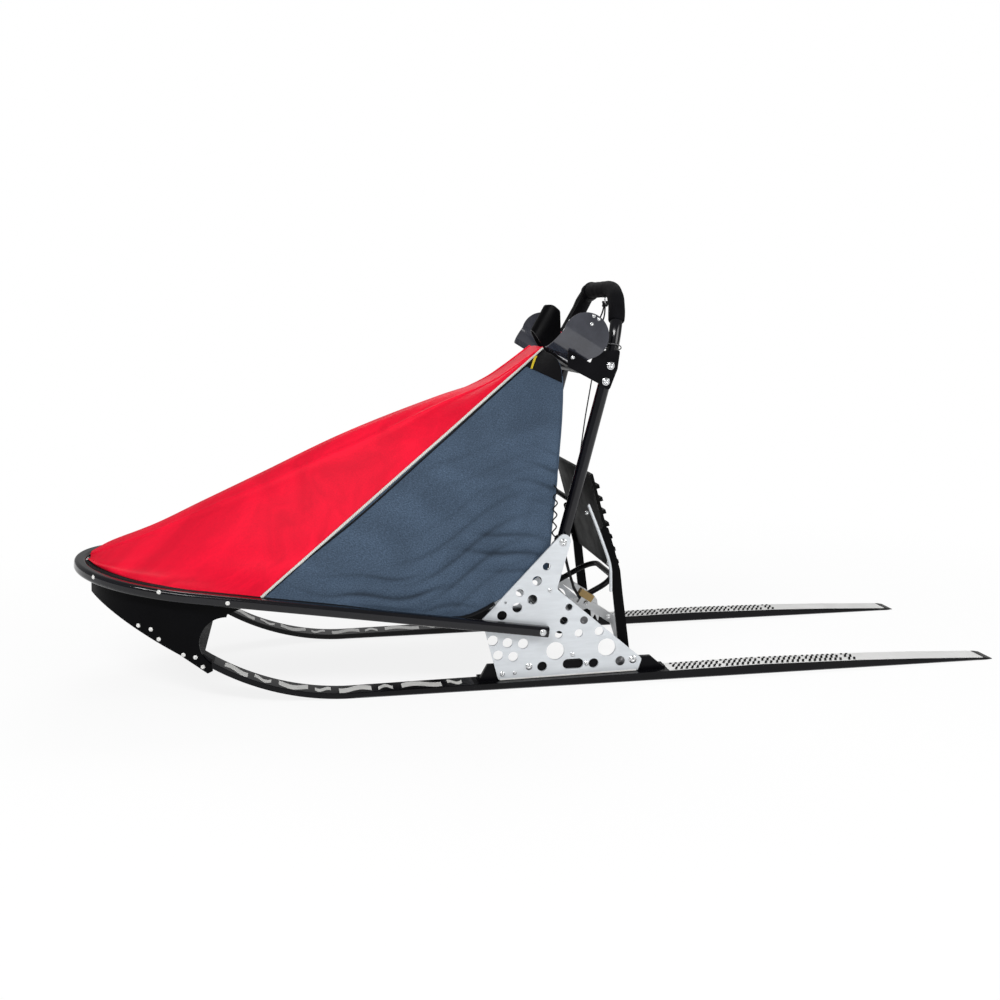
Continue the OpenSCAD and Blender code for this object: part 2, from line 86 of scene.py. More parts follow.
class Shape:
    """Vertices, faces and UVs gathered from several surfaces into one mesh."""

    def __init__(self):
        self.v, self.f, self.uv, self.n = [], [], [], 0

    def add(self, points, faces, uv=None):
        """Adds points with faces that count from the first of these points."""
        points = np.asarray(points, float).reshape(-1, 3)
        self.v.append(points)
        self.f.extend((np.asarray(f) + self.n).tolist() for f in faces)
        self.uv.append(np.zeros((len(points), 2)) if uv is None else uv.reshape(-1, 2))
        self.n += len(points)

    def grid(self, points, wrap_rows=False, wrap_cols=False, uv=None, flip=False):
        """Adds a rows x cols x 3 grid of points as quads."""
        rows, cols = points.shape[:2]
        faces = grid_faces(rows, cols, 0, wrap_rows, wrap_cols)
        self.add(points, faces[:, ::-1] if flip else faces, uv)

    def build(self, name, body, material, smooth=True, outward=True):
        """Makes the object at the origin, riding on a body unless that is None.

        outward turns the faces of a closed shape outwards.
        """
        v = np.concatenate(self.v)
        mesh = bpy.data.meshes.new(name)
        mesh.from_pydata(v.tolist(), [], self.f)
        uv = np.concatenate(self.uv)
        layer = mesh.uv_layers.new(name="Cloth")
        index = np.empty(len(mesh.loops), np.int32)
        mesh.loops.foreach_get("vertex_index", index)
        layer.data.foreach_set("uv", uv[index].ravel())
        if smooth:
            mesh.polygons.foreach_set("use_smooth", [True] * len(mesh.polygons))
        mesh.materials.append(MATERIALS[material])
        obj = bpy.data.objects.new(name, mesh)
        bpy.context.scene.collection.objects.link(obj)
        if outward:
            recalc(obj)
        if body:
            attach(obj, body)
        return obj


def recalc(obj):
    """Turns the faces of a closed mesh outwards."""
    bm = bmesh.new()
    bm.from_mesh(obj.data)
    bmesh.ops.recalc_face_normals(bm, faces=bm.faces)
    bm.to_mesh(obj.data)
    bm.free()


def frames_along(path):
    """Unit tangent and two unit normals at each point of a path."""
    t = unit(np.gradient(path, axis=0))
    spread = np.ptp(path, axis=0)
    ref = np.zeros(3)
    ref[int(np.argmin(spread))] = 1.0
    a = unit(np.cross(t, ref))
    return t, a, np.cross(t, a)


def tube(shape, path, radius, sides=12):
    """A circle of the given radius carried along a path: p + r (cos k a + sin k b)."""
    path = np.asarray(path, float)
    _, a, b = frames_along(path)
    k = np.linspace(0, 2 * np.pi, sides, endpoint=False)[None, :, None]
    r = np.broadcast_to(np.asarray(radius, float), (len(path),))[:, None, None]
    ring = path[:, None] + r * (np.cos(k) * a[:, None] + np.sin(k) * b[:, None])
    run = np.r_[0, np.cumsum(np.linalg.norm(np.diff(path, axis=0), axis=1))]
    uv = np.stack(np.broadcast_arrays(np.linspace(0, 1, sides)[None], run[:, None]), -1)
    shape.add(ring, closed_rings(len(path), sides), uv)


def lathe(shape, at, axis, profile, sides=24):
    """A profile of (radius, height) rows turned about an axis through a point."""
    axis = unit(np.asarray(axis, float))
    ref = np.array([0.0, 0, 1]) if abs(axis[2]) < 0.9 else np.array([1.0, 0, 0])
    a = unit(np.cross(axis, ref))
    b = np.cross(axis, a)
    p = np.asarray(profile, float) * MM
    k = np.linspace(0, 2 * np.pi, sides, endpoint=False)[None, :, None]
    rings = (np.asarray(at, float) * MM + p[:, 1][:, None, None] * axis
             + p[:, 0][:, None, None] * (np.cos(k) * a + np.sin(k) * b))
    shape.add(rings, closed_rings(len(p), sides))


def ribbon(shape, path, side, width, thick):
    """A flat band: a thin rectangle carried along a path, wide along side."""
    path = np.asarray(path, float)
    t = unit(np.gradient(path, axis=0))
    side = unit(np.broadcast_to(np.asarray(side, float), path.shape))
    up = unit(np.cross(side, t))
    w, h = width / 2, thick / 2
    ring = np.stack([path + side * (a * w) + up * (b * h)
                     for a, b in ((-1, -1), (1, -1), (1, 1), (-1, 1))], 1)
    run = np.r_[0, np.cumsum(np.linalg.norm(np.diff(path, axis=0), axis=1))]
    across = np.array([0, width, width, 0])
    uv = np.stack(np.broadcast_arrays(across[None], run[:, None]), -1)
    shape.add(ring, closed_rings(len(path), 4), uv)


def tube_piece(name, body, material, path, radius, sides=8):
    """A tube as a piece of its own: its radius in millimetres, its path in metres."""
    shape = Shape()
    tube(shape, path, radius * MM, sides)
    return shape.build(name, body, material)


def band_piece(name, body, material, path, side, width, thick, smooth=True):
    """A flat band as a piece of its own: width and thickness in millimetres."""
    shape = Shape()
    ribbon(shape, path, side, width * MM, thick * MM)
    return shape.build(name, body, material, smooth)


def curve(points, n):
    """n points on a smooth Catmull-Rom curve through the given points."""
    p = np.asarray(points, float)
    q = np.concatenate([2 * p[:1] - p[1:2], p, 2 * p[-1:] - p[-2:-1]])
    s = np.linspace(0, len(p) - 1, n)
    i = np.minimum(s.astype(int), len(p) - 2)
    u = (s - i)[:, None]
    a, b, c, d = q[i], q[i + 1], q[i + 2], q[i + 3]
    return 0.5 * (2 * b + (c - a) * u + (2 * a - 5 * b + 4 * c - d) * u ** 2
                  + (3 * b - a - 3 * c + d) * u ** 3)


def pchip(knots, values, at):
    """Monotone cubic through values (K x ...) at knots, read at points at."""
    x, y = np.asarray(knots, float), np.asarray(values, float)
    tail = (1,) * (y.ndim - 1)
    h = np.diff(x).reshape(-1, *tail)
    d = np.diff(y, axis=0) / h
    same = d[1:] * d[:-1] > 0
    w1, w2 = 2 * h[1:] + h[:-1], h[1:] + 2 * h[:-1]
    safe = np.where(same, d[1:] * d[:-1], 1.0)
    inner = np.where(same, (w1 + w2) * safe / np.where(same, w1 * d[1:] + w2 * d[:-1], 1.0), 0)
    m = np.concatenate([d[:1], inner, d[-1:]])
    i = np.clip(np.searchsorted(x, at) - 1, 0, len(x) - 2)
    hh = h[i]
    u = ((at - x[i]).reshape(-1, *tail)) / hh
    return ((1 + 2 * u) * (1 - u) ** 2 * y[i] + u * (1 - u) ** 2 * hh * m[i]
            + u ** 2 * (3 - 2 * u) * y[i + 1] + u ** 2 * (u - 1) * hh * m[i + 1])


# ---------------------------------------------------------------- materials

def group(name, inputs, outputs, make):
    """A shader node group with named inputs and outputs, made once."""
    if name in bpy.data.node_groups:
        return bpy.data.node_groups[name]
    g = bpy.data.node_groups.new(name, "ShaderNodeTree")
    for label, kind, value in inputs:
        s = g.interface.new_socket(label, in_out="INPUT", socket_type=kind)
        s.default_value = value
    for label, kind in outputs:
        g.interface.new_socket(label, in_out="OUTPUT", socket_type=kind)
    make(g, g.nodes.new("NodeGroupInput"), g.nodes.new("NodeGroupOutput"))
    return g


def node(tree, kind, values=None, **props):
    """Adds a node, sets its properties and its inputs, and links what is a socket."""
    n = tree.nodes.new(kind)
    for key, value in props.items():
        setattr(n, key, value)
    for key, value in (values or {}).items():
        if isinstance(value, bpy.types.NodeSocket):
            tree.links.new(value, n.inputs[key])
        else:
            n.inputs[key].default_value = value
    return n


def math_node(tree, operation, a, b=0.0):
    """Output socket of a Math node."""
    return node(tree, "ShaderNodeMath", {0: a, 1: b}, operation=operation).outputs[0]


def map_range(tree, value, low, high, to_low=0.0, to_high=1.0):
    """Output socket of a Map Range node."""
    return node(tree, "ShaderNodeMapRange", {"Value": value, "From Min": low, "From Max": high,
                                             "To Min": to_low, "To Max": to_high}).outputs[0]


def noise(tree, place, scale, detail, **more):
    """Output socket of a Noise Texture node, with any further inputs by name."""
    return node(tree, "ShaderNodeTexNoise", {"Vector": place, "Scale": scale, "Detail": detail,
                                             **more}).outputs["Fac"]


def bump(tree, shader, height, strength, distance):
    """Raises the shader's surface by a height, over any bump that it already has."""
    n = node(tree, "ShaderNodeBump", {"Strength": strength, "Distance": distance, "Height": height})
    before = shader.inputs["Normal"].links
    if before:
        tree.links.new(before[0].from_socket, n.inputs["Normal"])
    tree.links.new(n.outputs[0], shader.inputs["Normal"])


def mix_colour(tree, fac, a, b):
    """Output socket of a colour Mix node."""
    n = tree.nodes.new("ShaderNodeMix")
    n.data_type = "RGBA"
    for key, value in ((0, fac), (6, a), (7, b)):
        if isinstance(value, bpy.types.NodeSocket):
            tree.links.new(value, n.inputs[key])
        else:
            n.inputs[key].default_value = value
    return n.outputs[2]


def make_grain(g, gin, gout):
    """Two sizes of noise: a blotchy tone from 0 to 1 and a fine height."""
    place = gin.outputs["Place"]
    g.links.new(noise(g, place, gin.outputs["Blotch"], 5.0, Roughness=0.6), gout.inputs["Tone"])
    g.links.new(noise(g, place, gin.outputs["Grain"], 3.0), gout.inputs["Height"])


def grain_group():
    """Noise shared by every hard finish."""
    return group("Grain", [("Place", "NodeSocketVector", (0, 0, 0)),
                           ("Blotch", "NodeSocketFloat", 12.0), ("Grain", "NodeSocketFloat", 900.0)],
                 [("Tone", "NodeSocketFloat"), ("Height", "NodeSocketFloat")], make_grain)


def make_weave(g, gin, gout):
    """Warp and weft as crossed sine waves, with uneven threads from stretched noise."""
    xyz = node(g, "ShaderNodeSeparateXYZ", {0: gin.outputs["Place"]})
    waves = []
    for axis in ("X", "Y"):
        turn = math_node(g, "MULTIPLY", xyz.outputs[axis], gin.outputs["Threads"])
        waves.append(math_node(g, "SINE", turn))
    cross = math_node(g, "MULTIPLY", waves[0], waves[1])
    threads = []
    for along, over in ((150.0, 1400.0), (1400.0, 150.0)):
        place = node(g, "ShaderNodeCombineXYZ", {"X": math_node(g, "MULTIPLY", xyz.outputs["X"], along),
                                                 "Y": math_node(g, "MULTIPLY", xyz.outputs["Y"], over)})
        threads.append(noise(g, place.outputs[0], 1.0, 2.0))
    slub = math_node(g, "MULTIPLY", math_node(g, "ADD", *threads), 0.5)
    height = math_node(g, "ADD", math_node(g, "MULTIPLY", cross, 0.5), slub)
    g.links.new(height, gout.inputs["Height"])
    g.links.new(slub, gout.inputs["Slub"])


def weave_group():
    """Threads shared by every cloth."""
    return group("Weave", [("Place", "NodeSocketVector", (0, 0, 0)),
                           ("Threads", "NodeSocketFloat", 7000.0)],
                 [("Height", "NodeSocketFloat"), ("Slub", "NodeSocketFloat")], make_weave)


def new_material(name):
    """A material with its Principled shader and object coordinates."""
    m = bpy.data.materials.new(name)
    m.use_nodes = True
    t = m.node_tree
    shader = t.nodes["Principled BSDF"]
    place = t.nodes.new("ShaderNodeTexCoord").outputs["Object"]
    return m, t, shader, place


def ramp(t, fac, stops):
    """Colour ramp output for stops of (place, grey or rgb)."""
    n = t.nodes.new("ShaderNodeValToRGB")
    t.links.new(fac, n.inputs[0])
    e = n.color_ramp.elements
    while len(e) < len(stops):
        e.new(0.5)
    for i, (pos, c) in enumerate(stops):
        e[i].position = pos
        e[i].color = (c, c, c, 1) if np.isscalar(c) else (*c, 1)
    return n.outputs[0]


def hard_material(name, colour, rough, metal=0.0, coat=0.0, blotch=12.0, grain=900.0,
                  vary=0.25, high=0.15, spread=0.12, stretch=(1, 1, 1), shine=0.5):
    """Metal, paint, plastic or rubber: tone and gloss vary, with a fine grain bump."""
    m, t, s, place = new_material(name)
    place = node(t, "ShaderNodeMapping", {"Vector": place, "Scale": stretch}).outputs[0]
    g = node(t, "ShaderNodeGroup", node_tree=grain_group())
    t.links.new(place, g.inputs["Place"])
    g.inputs["Blotch"].default_value = blotch
    g.inputs["Grain"].default_value = grain
    dark = tuple(c * (1 - vary) for c in colour)
    light = tuple(min(1, c * (1 + vary)) for c in colour)
    tone = map_range(t, g.outputs["Tone"], 0.35, 0.65)
    t.links.new(mix_colour(t, tone, (*dark, 1), (*light, 1)), s.inputs["Base Color"])
    gloss = map_range(t, g.outputs["Tone"], 0.3, 0.7, max(0.03, rough - spread), rough + spread)
    t.links.new(gloss, s.inputs["Roughness"])
    s.inputs["Metallic"].default_value = metal
    s.inputs["Coat Weight"].default_value = coat
    s.inputs["Specular IOR Level"].default_value = shine
    bump(t, s, g.outputs["Height"], high, 0.0004)
    return m


def cloth_material(name, colour, rough=0.62, fade=0.2, crease=0.5, heather=0.04, fold_shading=0.3):
    """Coated woven cloth on the piece's own UV in metres: threads, slubs, soft creases and painted shading of
    the folds.
    """
    m, t, s, _ = new_material(name)
    uv = node(t, "ShaderNodeUVMap", uv_map="Cloth").outputs[0]
    w = node(t, "ShaderNodeGroup", node_tree=weave_group())
    t.links.new(uv, w.inputs["Place"])
    w.inputs["Threads"].default_value = 5200.0
    soft = noise(t, uv, 9.0, 6.0, Roughness=0.55, Distortion=0.6)
    shade = ramp(t, w.outputs["Slub"], [(0.36, 1 - fade), (0.64, 1 + fade)])
    mul = node(t, "ShaderNodeVectorMath", {0: shade, 1: colour}, operation="MULTIPLY").outputs[0]
    tone = map_range(t, soft, 0.35, 0.7, 0.86, 1.12)
    fleck = map_range(t, noise(t, uv, 380.0, 3.0), 0.35, 0.65, 1 - heather, 1 + heather)
    # Painted shade: the per-point fold shading darkens the colour in the creases of the folds, and where it is
    # negative it lightens the colour along the sewn ridges as a painted highlight.
    fold_shading_attr = node(t, "ShaderNodeAttribute", attribute_name="FoldShading").outputs["Fac"]
    shadow = math_node(t, "SUBTRACT", 1.0, math_node(t, "MULTIPLY", fold_shading_attr, fold_shading))
    tone = math_node(t, "MULTIPLY", math_node(t, "MULTIPLY", tone, fleck), shadow)
    out = node(t, "ShaderNodeVectorMath", {0: mul, 3: tone}, operation="SCALE").outputs[0]
    t.links.new(out, s.inputs["Base Color"])
    s.inputs["Roughness"].default_value = rough
    s.inputs["Specular IOR Level"].default_value = 0.12
    bump(t, s, soft, crease, 0.004)
    bump(t, s, w.outputs["Height"], 0.3, 0.0003)
    return m


def webbing_material(name, colour, pitch=2600.0):
    """Strap, piping or cord: slanting braid lines along the piece's length."""
    m, t, s, _ = new_material(name)
    uv = node(t, "ShaderNodeUVMap", uv_map="Cloth").outputs[0]
    xyz = node(t, "ShaderNodeSeparateXYZ", {0: uv})
    slant = math_node(t, "ADD", math_node(t, "MULTIPLY", xyz.outputs["Y"], pitch),
                      math_node(t, "MULTIPLY", xyz.outputs["X"], 6.283))
    wave = math_node(t, "SINE", slant)
    tone = map_range(t, wave, -1.0, 1.0, 0.7, 1.0)
    out = node(t, "ShaderNodeVectorMath", {0: colour, 3: tone}, operation="SCALE").outputs[0]
    t.links.new(out, s.inputs["Base Color"])
    s.inputs["Roughness"].default_value = 0.7
    s.inputs["Specular IOR Level"].default_value = 0.2
    bump(t, s, wave, 0.5, 0.0005)
    return m


MATERIALS = {}
# Hard finishes: name, colour, roughness, and what differs from the plain one
HARD = (
    ("ski_side", (0.003, 0.003, 0.004), 0.26, dict(grain=500, high=0.06, shine=0.16)),
    ("anodised", (0.002, 0.002, 0.003), 0.3, dict(grain=1500, high=0.08, shine=0.1)),
    ("bow", (0.003, 0.003, 0.005), 0.12, dict(grain=600, high=0.03, spread=0.04, shine=0.4)),
    ("bright", (0.72, 0.73, 0.74), 0.26, dict(metal=1.0, grain=3000, high=0.06, vary=0.08)),
    ("brushed", (0.60, 0.61, 0.62), 0.34,
     dict(metal=0.9, grain=2200, high=0.2, vary=0.1, stretch=(0.15, 1, 1))),
    ("dark_steel", (0.10, 0.10, 0.105), 0.3, dict(metal=0.8, grain=1500)),
    ("white_head", (0.78, 0.78, 0.76), 0.3, dict(grain=1200, vary=0.06)),
    ("foam", (0.004, 0.004, 0.005), 0.85, dict(shine=0.08, grain=1400, high=0.9, blotch=40, spread=0.06)),
    ("moulded", (0.030, 0.032, 0.042), 0.16, dict(grain=90, high=0.12, coat=0.6, shine=0.6, spread=0.08)),
    ("sheet_black", (0.0015, 0.0015, 0.002), 0.4, dict(grain=500, high=0.04, shine=0.06)),
    ("bronze", (0.34, 0.23, 0.09), 0.4, dict(metal=0.5, grain=1200, high=0.1)),
    ("rubber", (0.002, 0.002, 0.002), 0.6, dict(high=0.4, shine=0.08)),
)


def make_materials(props):
    """Every finish of the sled, by name."""
    m = MATERIALS
    for name, colour, rough, more in HARD:
        m[name] = hard_material(name, colour, rough, **more)
    m["plate"] = hard_material("plate", tuple(props.plate_colour), 0.42, metal=0.35, grain=2600, high=0.12,
                               vary=0.06, stretch=(1, 1, 6))
    m["red"] = cloth_material("red_cloth", tuple(props.red_colour), rough=0.55, fade=0.1, crease=0.6)
    m["slate"] = cloth_material("slate_cloth", tuple(props.slate_colour), rough=0.7, fade=0.34,
                                crease=0.35, heather=0.24, fold_shading=0.6)
    m["black_cloth"] = cloth_material("black_cloth", (0.003, 0.003, 0.004), rough=0.75, crease=0.6)
    m["piping"] = webbing_material("piping", (0.74, 0.74, 0.70), 1400.0)
    m["black_web"] = webbing_material("black_web", (0.005, 0.005, 0.006))
    m["black_cord"] = webbing_material("black_cord", (0.007, 0.007, 0.008), 3600.0)
    m["yellow"] = webbing_material("yellow_tab", (0.80, 0.60, 0.03))
    m["pink"] = webbing_material("pink_cord", (0.70, 0.08, 0.12), 3600.0)
    m["ski_top"] = ski_top_material()


def ski_top_material():
    """Top sheet of a runner: grey-white lacquer with a blotchy tone."""
    m, t, s, place = new_material("ski_top")
    g = node(t, "ShaderNodeGroup", node_tree=grain_group())
    t.links.new(place, g.inputs["Place"])
    g.inputs["Blotch"].default_value = 14.0
    g.inputs["Grain"].default_value = 800.0
    tone = map_range(t, g.outputs["Tone"], 0.3, 0.7)
    t.links.new(mix_colour(t, tone, (0.80, 0.80, 0.79, 1), (0.92, 0.92, 0.91, 1)), s.inputs["Base Color"])
    s.inputs["Roughness"].default_value = 0.3
    s.inputs["Coat Weight"].default_value = 0.4
    bump(t, s, g.outputs["Height"], 0.08, 0.0004)
    return m


CAD_FINISH = {
    "runner": "ski_side", "runner_bracket": "anodised", "side_plate": "plate", "side_rail": "bow",
    "brush_bow": "bow", "front_plate": "sheet_black", "front_cross_bar_upper": "anodised",
    "front_cross_bar_lower": "anodised", "tow_eye": "dark_steel", "plate_cross_tube": "anodised",
    "handlebar": "bow", "handlebar_grip": "foam", "handlebar_cross_rod": "anodised",
    "handlebar_bracket": "anodised", "bracket_cross_tube": "anodised", "hand_guard": "moulded",
    "center_shield": "sheet_black", "bag_side": "slate", "bag_top": "red", "bag_floor": "black_cloth",
    "bag_rear_panel": "black_cloth", "brake_axle": "anodised", "brake_arm": "brushed",
    "brake_claw": "brushed", "brake_pedal": "anodised", "mat_arm": "sheet_black", "drag_mat": "rubber",
}


# ---------------------------------------------------------------- bag

# Bag sections from nose to rear: base, shoulder, seam and crest as x, y, z
BAG = np.array([
    [[-1046, 30, 288], [-1046, 26, 291], [-1046, 22, 294], [-1046, 12, 301]],
    [[-1010, 113.7, 284], [-1010, 100, 292], [-1010, 84, 299], [-1010, 26, 319]],
    [[-900, 219.7, 268], [-900, 170, 290], [-900, 130, 312], [-900, 30, 359]],
    [[-793, 255.7, 253], [-793, 200, 285], [-793, 150, 322], [-793, 30, 407]],
    [[-655, 255.7, 232], [-655, 205, 275], [-655, 160, 330], [-655, 30, 469]],
    [[-477, 255.7, 205], [-477, 208, 285], [-477, 165, 353], [-477, 30, 549]],
    [[-222, 255.7, 166], [-222, 200, 360], [-222, 138, 556], [-222, 30, 646]],
    [[-112, 255.7, 210], [-100, 205, 470], [-112, 112, 655], [-112, 40, 682]],
    [[-14, 247.7, 262], [28, 218, 680], [12, 86, 756], [12, 56, 762]],
], float)
STATION = np.array([0, 0.045, 0.145, 0.24, 0.37, 0.53, 0.76, 0.87, 1.0])
ROW = np.array([0, 0.33, 0.66, 0.94, 1.0])
SEAM_FROM = 0.37
# The piping runs straight from rail to shield, in a slanting plane: n . (x, y, z) = d
SEAM_NORMAL = np.array([0.63807, 0.15628, -0.75395])
SEAM_D = -551.908
# Lower edge of the black flap at the shield, in the same way
FLAP_NORMAL = np.array([-0.489, 0, -0.872])
FLAP_D = -611.3


def bag_point(s, t):
    """Point on the right half of the bag at s from nose to rear and t from rail to ridge.

    Each longitudinal line is a monotone cubic through the section table, and each
    section a monotone cubic through the lines. s and t are arrays of one shape.
    """
    rows = np.concatenate([BAG, BAG[:, 3:4] * [1, 0, 1] + [0, 0, 1.5]], 1)
    shape = s.shape
    ctrl = pchip(STATION, rows, s.ravel())
    tt = t.ravel()
    i = np.clip(np.searchsorted(ROW, tt) - 1, 0, 3)
    n = np.arange(s.size)
    h = np.diff(ROW)
    d = np.diff(ctrl, axis=1) / h[None, :, None]
    m = np.zeros_like(ctrl)
    m[:, 0], m[:, -1] = d[:, 0], d[:, -1]
    m[:, 1:-1] = 0.5 * (d[:, 1:] + d[:, :-1])
    m[:, -1, 2] = 0
    hh = h[i][:, None]
    u = ((tt - ROW[i])[:, None]) / hh
    out = ((1 + 2 * u) * (1 - u) ** 2 * ctrl[n, i] + u * (1 - u) ** 2 * hh * m[n, i]
           + u ** 2 * (3 - 2 * u) * ctrl[n, i + 1] + u ** 2 * (u - 1) * hh * m[n, i + 1])
    return out.reshape(*shape, 3)


def row_where(s, normal, d):
    """How far up each section crosses the plane n . p = d, from the side where n . p is more."""
    at, back = np.unique(np.round(s, 6), return_inverse=True)
    t = np.linspace(0, 0.9, 361)
    p = bag_point(at[:, None] + np.zeros((1, t.size)), t[None] + np.zeros((at.size, 1)))
    above = p @ normal - d
    first = np.argmax(above < 0, axis=1)
    k = np.clip(first, 1, t.size - 1)
    n = np.arange(at.size)
    a, b = above[n, k - 1], above[n, k]
    row = t[k - 1] + (t[k] - t[k - 1]) * np.clip(a / np.where(a == b, 1, a - b), 0, 1)
    row = np.where(first == 0, np.where(above[:, 0] < 0, 0.0, 0.9), row)
    return row[back].reshape(np.shape(s))


def seam_row(s):
    """How far up each section the piping lies; forward of its start the red reaches the rail."""
    return np.where(s <= SEAM_FROM, 0.0, row_where(s, SEAM_NORMAL, SEAM_D))


def wrinkle(phase):
    """Puffed folds with narrow creases between them: the height, 0 to 1, and how far into a crease, which sets
    painted shade.
    """
    w = np.sin(phase) ** 2
    return np.sqrt(w + 0.04), np.exp(-w / 0.12)


def folds(p, s, t):
    """Height of the cloth's folds in millimetres, and the painted shading of the creases, up to 1, which goes
    below zero for a painted highlight along each sewn ridge.

    Long shallow waves run from nose to shield, puffed folds lie level along the rail,
    others run up from its rear corner, and a sewn ridge stands beside each crest.
    """
    x, z = p[..., 0], p[..., 2]
    line = z - 0.42 * x
    along = np.sin(line / 31 + 1.3 * np.sin(x / 150)) * np.sin(x / 210 + 0.7)
    streak, streak_in = wrinkle(line / 17 + 1.1 * np.sin(x / 120) + 0.4 * np.sin(x / 37))
    level, level_in = wrinkle((z + 0.07 * x) / 13 + 1.2 * np.sin(x / 90) + 0.5 * np.sin(x / 31))
    fan, fan_in = wrinkle((z - 0.45 * x) / 16 + 1.3 * np.sin(x / 60))
    low = np.exp(-((t - 0.12) / 0.12) ** 2) * np.clip(0.55 + 0.6 * np.sin(x / 75 + z / 34), 0, 1)
    rear = np.exp(-((s - 0.78) / 0.12) ** 2) * np.exp(-((t - 0.2) / 0.16) ** 2)
    faint = 0.4 * np.clip(np.sin(x / 110 + line / 60), 0, 1) * np.clip(3 * t, 0, 1) * np.clip(1 - t, 0, 0.5)
    crest = np.exp(-((t - 0.885) / 0.009) ** 2)
    neck = np.exp(-((s - 0.93) / 0.06) ** 2) * np.clip(t - 0.6, 0, 1)
    pucker = np.sin((x - 1.5 * z) / 6.5)
    edge = np.clip(t / 0.03, 0, 1)
    high = edge * (1.8 * along + 7.0 * level * low + 6.0 * fan * rear + 6.0 * streak * faint
                   + 3.0 * crest + 4.5 * neck * pucker)
    # Painted shade in the creases of the folds, less a painted highlight along the sewn ridge beside each crest
    fold_shading = level_in * low + 0.7 * fan_in * rear + streak_in * faint - 0.35 * crest
    return high, np.clip(fold_shading, -1, 1) * edge


def bag_surface(s, t, lift=0.0):
    """Bag points in metres, pushed along the surface normal by the folds and a lift."""
    e = 1e-3
    p = bag_point(s, t)
    ds = bag_point(np.clip(s + e, 0, 1), t) - bag_point(np.clip(s - e, 0, 1), t)
    dt = bag_point(s, np.clip(t + e, 0, 1)) - bag_point(s, np.clip(t - e, 0, 1))
    n = unit(np.cross(ds, dt))
    n = np.where(n[..., 2:3] < 0, -n, n)
    n[..., 1] = np.where(t > 0.985, 0, n[..., 1])
    h = folds(p, s, t)[0] * np.clip((1.0 - t) * 12, 0.0, 1) + lift
    return (p + unit(n) * h[..., None]) * MM


def cloth_uv(p):
    """UV in metres: distance along the rows and across them."""
    du = np.linalg.norm(np.diff(p, axis=0), axis=-1)
    dv = np.linalg.norm(np.diff(p, axis=1), axis=-1)
    u = np.concatenate([np.zeros((1, p.shape[1])), np.cumsum(du, 0)], 0)
    v = np.concatenate([np.zeros((p.shape[0], 1)), np.cumsum(dv, 1)], 1)
    return np.stack([u, v], -1)


def cloth_piece(name, p, material, sign, replaces, crease=None):
    """A cloth panel from a grid of points, 1.2 mm thick.

    crease carries painted shade for the folds' creases and a painted highlight for the sewn ridges.
    """
    shape = Shape()
    uv = cloth_uv(p)
    shape.grid(p * [1, sign, 1], uv=uv, flip=sign < 0)
    obj = shape.build(name, "sled", material, outward=False)
    if crease is not None:
        # Painted shade and highlight of the folds, stored per point for the cloth material
        layer = obj.data.attributes.new("FoldShading", "FLOAT", "POINT")
        layer.data.foreach_set("value", crease.ravel())
    solid = obj.modifiers.new("Thickness", "SOLIDIFY")
    solid.thickness, solid.offset = 0.0012, -1
    if replaces:
        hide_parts(*replaces)
    return obj


def build_bag():
    """Red top, slate sides, floor and rear panel of the bag."""
    n, k = 300, 120
    for label, sign in SIDES:
        s = np.linspace(SEAM_FROM + 1e-4, 1, n)[:, None] + np.zeros((1, k))
        v = np.linspace(0, 1, k)[None]
        t = seam_row(s) * v
        # The side panel gets the painted shade of its folds
        cloth_piece(f"bag_cloth_side_{label}", bag_surface(s, t), "slate", sign,
                    [f"bag_side_{label}"],
                    crease=folds(bag_point(s, t), s, t)[1])
    s = np.linspace(0, 1, 420)[:, None] + np.zeros((1, 90))
    v = np.linspace(0, 1, 90)[None]
    t = seam_row(s) + (1 - seam_row(s)) * v
    right = bag_surface(s, t)
    right[:, -1, 1] = 0
    left = right[:, ::-1] * [1, -1, 1]
    whole = np.concatenate([right, left[:, 1:]], 1)
    # Painted shade of the folds, mirrored for the left half
    fold_shading = folds(bag_point(s, t), s, t)[1]
    fold_shading = np.concatenate([fold_shading, fold_shading[:, ::-1][:, 1:]], 1)
    cloth_piece("bag_cloth_top", whole, "red", 1, ["bag_top"], crease=fold_shading)
    build_bag_floor()


def build_bag_floor():
    """Floor sagging between the rails, and the rear panel with a slight bulge."""
    s = np.linspace(0.02, 0.97, 120)[:, None] + np.zeros((1, 60))
    v = np.linspace(-1, 1, 60)[None] + np.zeros((120, 1))
    base = bag_point(s, np.zeros_like(s))
    p = base * [1, 1, 1]
    p[..., 1] = base[..., 1] * v * 0.985
    p[..., 2] = base[..., 2] - 6 * (1 - v ** 2) - 1
    cloth_piece("bag_cloth_floor", p * MM, "black_cloth", 1, ["bag_floor"])
    y = np.linspace(-1, 1, 70)[:, None]
    z = np.linspace(0, 1, 40)[None]
    half = 240 - 8 * z
    q = np.stack(np.broadcast_arrays(-10 + 8 * z + 7 * (1 - y ** 2) * np.sin(np.pi * z), y * half,
                                     266 + 204 * z), -1)
    cloth_piece("bag_cloth_rear", q * MM, "black_cloth", 1, ["bag_rear_panel"])


